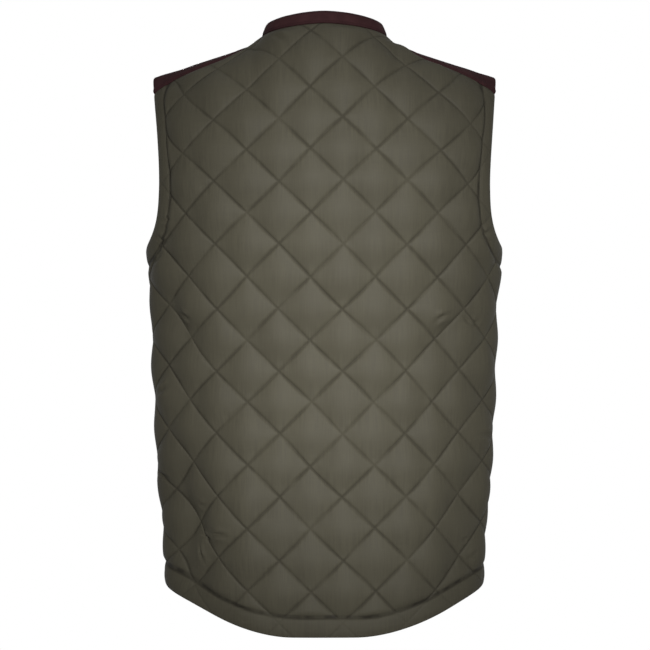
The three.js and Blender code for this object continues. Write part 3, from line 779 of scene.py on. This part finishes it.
def quilted_cloth(name, quilt, tone, inside=False, placket=None):
    """Satin-soft olive cloth with its quilting lines and shade painted along them; inside, the plain cloth that backs
    it.
    """
    shader = Shader(name, roughness=0.6, specular_ior_level=0.06)
    flat = shader.add("ShaderNodeUVMap", {"uv_map": "cloth"})
    u, v = (part / MM for part in shader.parts(flat)[:2])
    p, q = (u - quilt[0]) / DIAMOND_WIDTH, (v - quilt[1]) / DIAMOND_HEIGHT
    sewn = [(p + q, p - q), (p - q, p + q)]
    slack = shader.noise(shader.stretched(flat, 24, 24), 1.0, 2.0).below(0.52, 0.14)
    lines, dip = [], 0.0
    for line, other in sewn:
        away = ((line + 0.5).fraction() - 0.5) * LINE_SPACING
        lines.append(stitches(away, other * LINE_SPACING))
        dip = away.absolute().below(1.5, 1.3) + dip
    thread, groove_and_shade = lines[0][0].most(lines[1][0]), lines[0][1].most(lines[1][1])
    dip = dip * (slack * 0.55 + 0.15)
    if not inside:
        edge = shader.add("ShaderNodeAttribute", {"attribute_name": "edge_distance"}, out=2)
        open_cloth = 1.0 - edge.below(TURNED_WIDTH - 1.5, 1.0) * 0.65
        thread, groove_and_shade, dip = thread * open_cloth, groove_and_shade * open_cloth, dip * open_cloth
        topstitch = stitches(edge - (TURNED_WIDTH - 0.6), u + v)
        thread, groove_and_shade = thread.most(topstitch[0]), groove_and_shade.most(topstitch[1])
        # A painted shadow on the cloth just above the turned edges' topstitching, where the puffs overhang it,
        # stronger in patches along it.
        above = (edge - (TURNED_WIDTH + 1.6)).absolute().below(2.2, 1.6)
        uneven_shadow = shader.noise(shader.stretched(flat, 70, 40), 1.0, 1.0).below(0.5, 0.12)
        shade = above * (uneven_shadow * 0.5 + 0.35)
    if placket is not None:
        topstitch = stitches(u - placket, v)
        thread, groove_and_shade = thread.most(topstitch[0]), groove_and_shade.most(topstitch[1])
    warp = shader.noise(shader.stretched(flat, 900, 30), 1.0, 3.0)
    weft = shader.noise(shader.stretched(flat, 40, 700), 1.0, 2.0)
    patch = shader.noise(shader.stretched(flat, 12, 9), 1.0, 3.0)
    weave = ((u * (math.tau / 0.55)).sine() * (v * (math.tau / 0.5)).sine()) * 0.5 + 0.5
    tint = (warp * 0.6 + weft * 0.15 + patch * 0.25).below(0.5, 0.15)
    base = shader.blend(tint, tone[0], tone[1])
    # Painted shade: the colour darkens towards the third tone in the grooves of the sewn lines and topstitching,
    # unevenly along them.
    base = shader.blend(groove_and_shade * (slack * 0.4 + 0.06), base, tone[2])
    if not inside:
        base = shader.blend(shade, base, tone[2])
    base = shader.blend(thread * 0.35, base, tone[3])
    fine = shader.bump(weave * 0.6 + warp * 0.7 + weft * 0.3, 0.35, 0.00018)
    soft = shader.bump(1.0 - dip, 1.0, 0.0006, fine)
    sewn_in = shader.bump(thread * 0.4 - groove_and_shade, 0.7, 0.0005, soft)
    return shader.set(base_color=base, roughness=0.62 + (warp - 0.5) * 0.16 + groove_and_shade * 0.12, normal=sewn_in)


def brushed_cloth(name, tone, stitch_in):
    """Brown brushed cotton with a short nap, sewn a little way in from its seams."""
    shader = Shader(name, roughness=0.9, specular_ior_level=0.04)
    place = shader.add("ShaderNodeTexCoord", out=3)
    nap = shader.noise(place, 1400.0, 4.0, 0.65)
    rub = shader.noise(place, 60.0, 4.0, 0.6)
    worn_share = rub.below(0.5, 0.2)
    base = shader.blend(worn_share, tone[0], tone[1])
    base = shader.blend(nap.below(0.5, 0.25) * 0.5, base, tone[2])
    across, up, _ = shader.parts(shader.add("ShaderNodeUVMap", {"uv_map": "cloth"}))
    along = (across + up) / MM
    edge = shader.add("ShaderNodeAttribute", {"attribute_name": "edge_distance"}, out=2)
    thread, groove_and_shade = stitches(edge - stitch_in, along)
    # Painted shade: the colour darkens towards the fourth tone in the groove of the topstitching.
    base = shader.blend(groove_and_shade * 0.4, base, tone[3])
    base = shader.blend(thread * 0.6, base, tone[0])
    normal = shader.bump(thread * 0.4 - groove_and_shade, 0.8, 0.0005, shader.bump(nap, 0.5, 0.0004))
    return shader.set(base_color=base, roughness=0.86 + (nap - 0.5) * 0.2, normal=normal)


def tape_cloth(name, tone):
    """Close-woven zip tape with a herringbone."""
    shader = Shader(name, roughness=0.85, specular_ior_level=0.06)
    place = shader.add("ShaderNodeTexCoord", out=3)
    x, _, z = (part / MM for part in shader.parts(place))
    zigzag = ((x / 1.4).fraction() - 0.5).absolute() * 1.4
    rib = ((z + zigzag) * (math.tau / 0.7)).sine() * 0.5 + 0.5
    base = shader.blend(rib, tone[0], tone[1])
    return shader.set(base_color=base, roughness=0.8 + rib * 0.08, normal=shader.bump(rib, 0.5, 0.0002))


def aged_metal(name, tone):
    """Aged brass, dulled in patches and rubbed bright."""
    shader = Shader(name, metallic=1.0, roughness=0.4)
    place = shader.add("ShaderNodeTexCoord", out=3)
    patch = shader.noise(place, 260.0, 5.0, 0.6)
    scratch = shader.noise(shader.stretched(place, 3000, 3000, 400), 1.0, 2.0)
    base = shader.blend(patch.below(0.5, 0.2), tone[0], tone[1])
    dull = 0.34 + patch * 0.22 + (scratch - 0.5) * 0.1
    return shader.set(base_color=base, roughness=dull, normal=shader.bump(scratch, 0.15, 0.00008))


# Each cloth's colours: two tones of its own; then for the olive and the inner cloth the painted shade of the sewn
# grooves (and of the shadow above the turned edges) and the thread; for the brown cloth the nap and the painted shade
# of the sewn grooves.
OLIVE = (colour(43, 41, 33), colour(38, 36, 29), colour(20, 18, 14), colour(33, 31, 24))
LINING = (colour(40, 38, 31), colour(35, 33, 27), colour(24, 22, 18), colour(33, 31, 25))
BROWN = (colour(38, 21, 22), colour(31, 16, 17), colour(23, 11, 12), colour(14, 7, 8))
back_cloth = quilted_cloth("olive_quilting_back", BACK_QUILT, OLIVE)
yoke_lining = quilted_cloth("inner_cloth_yoke", (0.0, 0.0), LINING, inside=True)
back_lining = quilted_cloth("inner_cloth_back", BACK_QUILT, LINING, inside=True)
yoke_cloth = brushed_cloth("brown_brushed_yoke", BROWN, 2.2)
band_cloth = brushed_cloth("brown_brushed_band", BROWN, 2.0)
tape = tape_cloth("zip_tape_weave", (colour(35, 34, 28), colour(26, 25, 20)))
metal = aged_metal("aged_brass", (colour(142, 116, 76), colour(88, 70, 46)))

# The quilted panels
STEPS = 24


def quilted_panel(name, side, quilt, u_range, v_range, seams, turned, laid, seed, materials, mirror=1):
    creases, folds, pulls = laid
    cell = (DIAMOND_WIDTH / STEPS, DIAMOND_HEIGHT / STEPS)
    sheet = FlatSheet(cell, STEPS // 2, quilt, u_range, v_range)
    for cut in (*seams, *turned):
        sheet.cut(cut)
    for cut in turned:
        sheet.cut(lambda u, v, cut=cut: distance(cut, u, v) - TURNED_WIDTH, crease=True)
    sheet.tidy()
    thickness = quilted_thickness(side, quilt, seams, turned, creases, seed, sheet.u, sheet.v, mirror)
    edge = nearest(turned, sheet.u, sheet.v)
    first_turned = len(seams)
    free = lambda s, rim: ((s.on[rim] >= first_turned) & (s.on[rim] < first_turned + len(turned))).any(axis=1)
    swing = sway(folds, seams, seed + 40, mirror)
    wander = drift((*seams, *turned), pulls, seed + 50, mirror)

    def hung(u, v):
        aside, up = wander(u, v)
        u, v = u + aside, v + up
        place = worn(side, u, v)
        return place + normals_at(lambda a, b: worn(side, a, b), u, v) * swing(u, v)[..., None]

    return shell(name, sheet, hung, thickness, free, edge, materials)


back = quilted_panel(
    "back_panel",
    BACK,
    BACK_QUILT,
    (-270, 270),
    (-700, 50),
    [side_seam(BACK), shoulder_seam(BACK, back_setback), edge_of(BACK, neck_edge)],
    [lambda u, v: v - hem_height(BACK_HEM, u), edge_of(BACK, armhole_edge)],
    (BACK_CREASES, BACK_FOLDS, BACK_PULLS),
    11,
    (back_cloth, back_lining),
)
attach(back, "vest")
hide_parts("back")

for sign, side_name in ((1, "left"), (-1, "right")):
    quilt = (FRONT_QUILT[0] * sign, FRONT_QUILT[1])
    placket = (ZIP_HALF_GAP + PLACKET_STITCH) * sign
    cloth = quilted_cloth(f"olive_quilting_front_{side_name}", quilt, OLIVE, placket=placket)
    lining = quilted_cloth(f"inner_cloth_front_{side_name}", quilt, LINING, inside=True)
    front = quilted_panel(
        f"front_panel_{side_name}",
        FRONT,
        quilt,
        (0, 280) if sign > 0 else (-280, 0),
        (-670, 20),
        [
            lambda u, v, sign=sign: u * sign - ZIP_HALF_GAP + v * 0,
            side_seam(FRONT),
            shoulder_seam(FRONT, lambda x: FRONT_SEAM),
            edge_of(FRONT, neck_edge),
        ],
        [lambda u, v: v - hem_height(FRONT_HEM, u), edge_of(FRONT, armhole_edge)],
        (FRONT_CREASES, FRONT_FOLDS, FRONT_PULLS),
        31 + sign,
        (cloth, lining),
        mirror=sign,
    )
    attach(front, "vest")
    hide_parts(f"front_{side_name}")

# The shoulder yokes
def yoke_edge(test):
    return lambda u, v: test(worn_yoke(u, v))


for sign, side_name in ((1, "left"), (-1, "right")):
    fine = 3.0
    sheet = FlatSheet((fine, fine), 1, (0.0, 0.0), (60, 212) if sign > 0 else (-212, -60), (-66, 40))
    seams = [
        lambda u, v: back_setback(u) - HALF_GAP - v,
        lambda u, v: v + FRONT_SEAM - HALF_GAP + u * 0,
        yoke_edge(neck_edge),
    ]
    arm = yoke_edge(armhole_edge)
    for cut in (*seams, arm):
        sheet.cut(cut)
    sheet.tidy()
    seam = nearest(seams, sheet.u, sheet.v)
    edge = distance(arm, sheet.u, sheet.v)
    welt = 0.9 * hump(seam - 4.5, 3.0) - 0.7 * hump(seam, 1.4)
    soft = 0.35 * soft_noise(71 + sign, sheet.u / 17, sheet.v / 23)
    thickness = turned_wall(edge, YOKE_THICKNESS, 0.6) + welt + soft * smooth(0, 8, np.minimum(seam, edge))
    yoke = shell(
        f"shoulder_yoke_{side_name}",
        sheet,
        worn_yoke,
        thickness,
        lambda s, rim: (s.on[rim] == 3).any(axis=1),
        np.minimum(seam, np.abs(edge - TURNED_WIDTH + 3)),
        (yoke_cloth, yoke_lining),
    )
    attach(yoke, "vest")
    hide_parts(f"yoke_{side_name}")


# The neck band
def form_value(p):
    """Zero on the inside of the cloth over the chest and shoulders."""
    side_back = p[..., 1] > 0
    wide = np.where(side_back, upright(BACK, p[..., 0], p[..., 2]), upright(FRONT, p[..., 0], p[..., 2]))
    climbed = np.maximum(p[..., 2] - CHEST_Z, 0) / (ridge(p[..., 0]) - CHEST_Z)
    return (p[..., 1] / wide) ** 2 + climbed**BEND_POWER - 1


def form_normal(p):
    steps = np.eye(3) * 0.5
    normal = np.stack([form_value(p + step) - form_value(p - step) for step in steps], axis=-1)
    return normal / np.linalg.norm(normal, axis=-1, keepdims=True)


def on_form(x, y):
    z = crossing(np.full_like(x, CHEST_Z), ridge(x) + 1, lambda z: form_value(np.stack([x, y, z], axis=-1)) < 0)
    return np.stack([x, y, z], axis=-1)


def swept(name, sections, flats, edges, material):
    """A closed tube through rings of points, with flat ends."""
    stations, count = sections.shape[:2]
    mesh = bpy.data.meshes.new(name)
    faces = [
        [i * count + k, (i + 1) * count + k, (i + 1) * count + (k + 1) % count, i * count + (k + 1) % count]
        for i in range(stations - 1)
        for k in range(count)
    ]
    faces += [list(range(count)), [(stations - 1) * count + k for k in reversed(range(count))]]
    mesh.from_pydata((sections.reshape(-1, 3) * MM).tolist(), [], faces)
    bm = bmesh.new()
    bm.from_mesh(mesh)
    bmesh.ops.recalc_face_normals(bm, faces=bm.faces)
    bm.to_mesh(mesh)
    bm.free()
    return finished(name, mesh, flats.reshape(-1, 2), edges, [material])


turn = np.linspace(0, 2 * math.pi, 4001)
swing = np.sin(turn)
reach = np.where(np.cos(turn) > 0, NECK_FRONT, NECK_BACK)
rim_x = NECK_HALF * np.sign(swing) * np.abs(swing) ** (2 / NECK_POWER)
rim_y = -reach * np.sign(np.cos(turn)) * np.abs(np.cos(turn)) ** (2 / NECK_POWER)
rim = on_form(rim_x, rim_y)
lengths = np.concatenate([[0], np.cumsum(np.linalg.norm(np.diff(rim, axis=0), axis=1))])
band_length = lengths[-1] - 0.5
stations = np.linspace(0.25, lengths[-1] - 0.25, int(band_length / 2.0))
rim = np.stack([np.interp(stations, lengths, rim[:, k]) for k in range(3)], axis=1)
rim[0, 0], rim[-1, 0] = 0.25, -0.25
normal = form_normal(rim)
along = np.gradient(rim, axis=0)
along /= np.linalg.norm(along, axis=1, keepdims=True)
inward = np.cross(along, normal)
inward[np.einsum("ij,ij->i", inward, np.stack([rim[:, 0], rim[:, 1], np.full(len(rim), -40)], 1)) > 0] *= -1
up = inward + np.array([0, 0, BAND_UPRIGHT])
up /= np.linalg.norm(up, axis=1, keepdims=True)
out = np.cross(up, along)
out[np.einsum("ij,ij->i", out, normal) < 0] *= -1
BAND_SECTION = [  # height and thickness, up the outside, over the top and down the inside
    (0, 2.0),
    (1.6, 2.35),
    (4.2, 2.85),
    (8.0, 3.0),
    (11.5, 3.0),
    (14.0, 2.95),
    (15.6, 2.6),
    (16.4, 1.9),
    (16.5, 1.1),
    (15.8, 0.35),
    (14.2, 0.05),
    (9.5, 0.0),
    (4.5, 0.0),
    (0, 0.0),
]
rings, flats, edges = [], [], []
girth = 0.0
for k, (height, thick) in enumerate(BAND_SECTION):
    if k:
        girth += math.hypot(height - BAND_SECTION[k - 1][0], thick - BAND_SECTION[k - 1][1])
    waver = 0.22 * soft_noise(83, stations / 14, np.full_like(stations, height / 6.0)) * (0 < k < 9)
    base = rim + inward * SEAM_GAP
    if k == 0:
        rings.append(base + normal * thick)
    else:
        rings.append(base + up * height + out * (thick + waver)[:, None])
    flats.append(np.stack([stations, np.full_like(stations, girth)], axis=-1))
    edges.append(np.full(len(stations), min(height, BAND_HEIGHT - height) if k < 8 else 9.0))
rings, flats, edges = (np.stack(rows, axis=1) for rows in (rings, flats, edges))
neck_band = swept("neck_band_brushed", rings, flats, edges.ravel(), band_cloth)
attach(neck_band, "vest")
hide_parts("neck_band")

# The zip
BESIDE_CENTRE = 0.01  # the front's cloth has no side there to choose between
BOX_LENGTH = 9
zip_top = float(crossing(-120.0, 0.0, lambda v: neck_edge(worn(FRONT, BESIDE_CENTRE, v)) > 0)) - 1
box_top = FRONT_HEM[0] + 1 + BOX_LENGTH
heights = np.arange(FRONT_HEM[0], zip_top + 2, 1.0)
line = worn(FRONT, BESIDE_CENTRE, heights)
line_normal = normals_at(lambda u, v: worn(FRONT, u, v), np.full_like(heights, BESIDE_CENTRE), heights)
line_normal[:, 0] = 0
line_normal /= np.linalg.norm(line_normal, axis=1, keepdims=True)


def on_zip(x, v, t):
    """A place on the zip: across it, up it and out from the inside of the cloth."""
    y, z = (np.interp(v, heights, line[:, k]) + t * np.interp(v, heights, line_normal[:, k]) for k in (1, 2))
    return np.stack([np.broadcast_to(x, np.shape(y)), y, z], axis=-1)


TAPE_SECTION = [  # across from the centre and height, round the beaded inner edge and the flat tape
    (1.3, 1.15),
    (1.5, 1.55),
    (1.95, 1.7),
    (2.5, 1.5),
    (3.1, 1.45),
    (4.6, 1.45),
    (5.7, 1.3),
    (5.7, 0.8),
    (4.6, 0.72),
    (2.6, 0.72),
    (1.9, 0.62),
    (1.45, 0.8),
]
for sign, side_name in ((1, "left"), (-1, "right")):
    up_zip = np.arange(box_top, zip_top, 4.0)
    up_zip = np.append(up_zip, zip_top)
    rings = np.stack([on_zip(x * sign, up_zip, t) for x, t in TAPE_SECTION], axis=1)
    flats = np.stack([np.stack([np.full_like(up_zip, x), up_zip], -1) for x, _ in TAPE_SECTION], axis=1)
    strip = swept(f"zip_tape_woven_{side_name}", rings, flats, None, tape)
    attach(strip, "vest")
    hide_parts(f"zip_tape_{side_name}")


def deselect():
    bpy.ops.object.select_all(action="DESELECT")


def active(piece):
    deselect()
    piece.select_set(True)
    bpy.context.view_layer.objects.active = piece


def apply_modifiers(piece):
    active(piece)
    for modifier in list(piece.modifiers):
        bpy.ops.object.modifier_apply(modifier=modifier.name)


def pick_faces(piece, test):
    """Selects in edit mode the faces whose middles pass a test."""
    mesh = bmesh.from_edit_mesh(piece.data)
    bpy.ops.mesh.select_mode(type="FACE")
    for face in mesh.faces:
        face.select_set(bool(test(face.calc_center_median(), face.normal)))
    mesh.select_flush_mode()
    bmesh.update_edit_mesh(piece.data)


TOOTH_PITCH = 2.6
deselect()
bpy.ops.mesh.primitive_cube_add(size=1, location=(0.0013, 0.00135, 0))
tooth = bpy.context.object
tooth.name = "zip_teeth"
tooth.scale = (0.0024, 0.0019, 0.0012)
bpy.ops.object.transform_apply(location=True, rotation=True, scale=True)
bpy.ops.object.mode_set(mode="EDIT")
pick_faces(tooth, lambda middle, normal: normal.x < -0.5)
bpy.ops.mesh.extrude_region_move(TRANSFORM_OT_translate={"value": (-0.0007, 0, 0)})
bpy.ops.transform.resize(value=(1, 0.72, 0.62))
bpy.ops.object.mode_set(mode="OBJECT")
rounded = tooth.modifiers.new("rounded", "BEVEL")
rounded.width, rounded.segments, rounded.limit_method = 0.00018, 1, "ANGLE"
row = tooth.modifiers.new("row", "ARRAY")
row.use_relative_offset, row.use_constant_offset = False, True
row.constant_offset_displace = (0, 0, TOOTH_PITCH * MM)
row.count = int((zip_top - box_top - 1.5) / TOOTH_PITCH)
apply_modifiers(tooth)
bpy.ops.object.duplicate()
other_row = bpy.context.object
for vertex in other_row.data.vertices:
    vertex.co.x *= -1
    vertex.co.z += TOOTH_PITCH / 2 * MM
other_row.data.flip_normals()
tooth.select_set(True)
bpy.context.view_layer.objects.active = tooth
bpy.ops.object.join()
flat_teeth = np.empty(len(tooth.data.vertices) * 3)
tooth.data.vertices.foreach_get("co", flat_teeth)
flat_teeth = flat_teeth.reshape(-1, 3) / MM
laid = on_zip(flat_teeth[:, 0], flat_teeth[:, 2] + box_top + 1.2, flat_teeth[:, 1])
tooth.data.vertices.foreach_set("co", (laid * MM).ravel())
tooth.data.materials.append(metal)
active(tooth)
bpy.ops.object.shade_smooth_by_angle(angle=math.radians(40))
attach(tooth, "vest")
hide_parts("zip_chain")


def softened(node_name, name, body, width, segments=2):
    """A copy of a small metal piece with its edges rounded."""
    node = bpy.data.objects[node_name]
    piece = bpy.data.objects.new(name, node.data.copy())
    bpy.context.scene.collection.objects.link(piece)
    piece.hide_render = False
    active(piece)
    bpy.ops.object.mode_set(mode="EDIT")
    bpy.ops.mesh.select_all(action="SELECT")
    bpy.ops.mesh.remove_doubles(threshold=0.00002)
    bpy.ops.mesh.dissolve_limited(angle_limit=math.radians(2))
    bpy.ops.mesh.normals_make_consistent(inside=False)
    bpy.ops.object.mode_set(mode="OBJECT")
    edge = piece.modifiers.new("edge", "BEVEL")
    edge.width, edge.segments, edge.limit_method, edge.angle_limit = width, segments, "ANGLE", math.radians(35)
    apply_modifiers(piece)
    piece.data.materials.clear()
    piece.data.materials.append(metal)
    bpy.ops.object.shade_smooth_by_angle(angle=math.radians(40))
    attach(piece, body)
    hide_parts(node_name)
    return piece


softened("zip_box", "zip_retaining_box", "vest", 0.0005)
softened("zip_slider", "zip_slider_body", "vest", 0.00022)
softened("zip_pull", "zip_pull_tab", "pull", 0.00025)

# Floor, light and camera
FLOOR_Z, FLOOR_RADIUS = -1.42, 2.9
deselect()
bpy.ops.mesh.primitive_circle_add(vertices=160, radius=FLOOR_RADIUS, fill_type="NGON", location=(0, 0, FLOOR_Z))
floor = bpy.context.object
floor.name = "floor"
paper = Shader("pale_paper", roughness=0.95, specular_ior_level=0.1)
spot = paper.add("ShaderNodeTexCoord", out=3)
grain = paper.noise(spot, 30.0, 3.0)
x, y, _ = paper.parts(spot)
middle = ((x * x + y * y) ** 0.5).below(1.7, 1.1)
pale = paper.blend(middle, colour(252, 252, 252), colour(216, 216, 215))
floor.data.materials.append(
    paper.set(base_color=paper.blend(grain * 0.04, pale, colour(190, 190, 190)), roughness=0.92 + grain * 0.05)
)

# The sky is white round about and brighter overhead, and dimmer in between.
world = bpy.data.worlds.new("studio")
sky = Nodes(world)
height = sky.parts(sky.add("ShaderNodeTexCoord"))[2]
round_about = height.absolute().below(0.395, 0.155) * 0.7 + 0.3
overhead = (1 - height.below(0.875, 0.095)) * 1.7
background = sky.tree.nodes["Background"]
background.inputs["Color"].default_value = (1, 1, 1, 1)
sky.feed(background.inputs["Strength"], round_about + overhead)
bpy.context.scene.world = world

LIGHT_SPREAD = math.radians(20)
MIDDLE = (0, 0, -0.36)  # of the vest, where the lights point


def soft_light(name, place, size, power):
    light = bpy.data.lights.new(name, "AREA")
    light.shape = "RECTANGLE"
    light.size, light.size_y = size
    light.spread = LIGHT_SPREAD
    light.energy = power
    lamp = bpy.data.objects.new(name, light)
    lamp.location = place
    lamp.rotation_euler = (Vector(MIDDLE) - Vector(place)).to_track_quat("-Z", "Y").to_euler()
    bpy.context.scene.collection.objects.link(lamp)


soft_light("key", (-0.24, 1.9, 0.04), (0.3, 0.65), 3.6)
soft_light("front_key", (0.24, -1.9, 0.04), (0.3, 0.65), 3.6)

camera = bpy.data.objects.new("camera", bpy.data.cameras.new("camera"))
FOCAL_PIXELS, FRAME_PIXELS, HORIZON_ROW = 1593.0, 650.0, 288.0
camera.data.sensor_width = 36.0
camera.data.lens = FOCAL_PIXELS / FRAME_PIXELS * 36.0
camera.location = (-0.0006, 1.92, -0.2965)
pitch = math.atan((FRAME_PIXELS / 2 - HORIZON_ROW) / FOCAL_PIXELS)
camera.rotation_euler = (math.pi / 2 - pitch, 0, math.pi)
camera.data.clip_start, camera.data.clip_end = 0.05, 100
bpy.context.scene.collection.objects.link(camera)
bpy.context.scene.camera = camera
bpy.context.scene.view_settings.view_transform = "Standard"
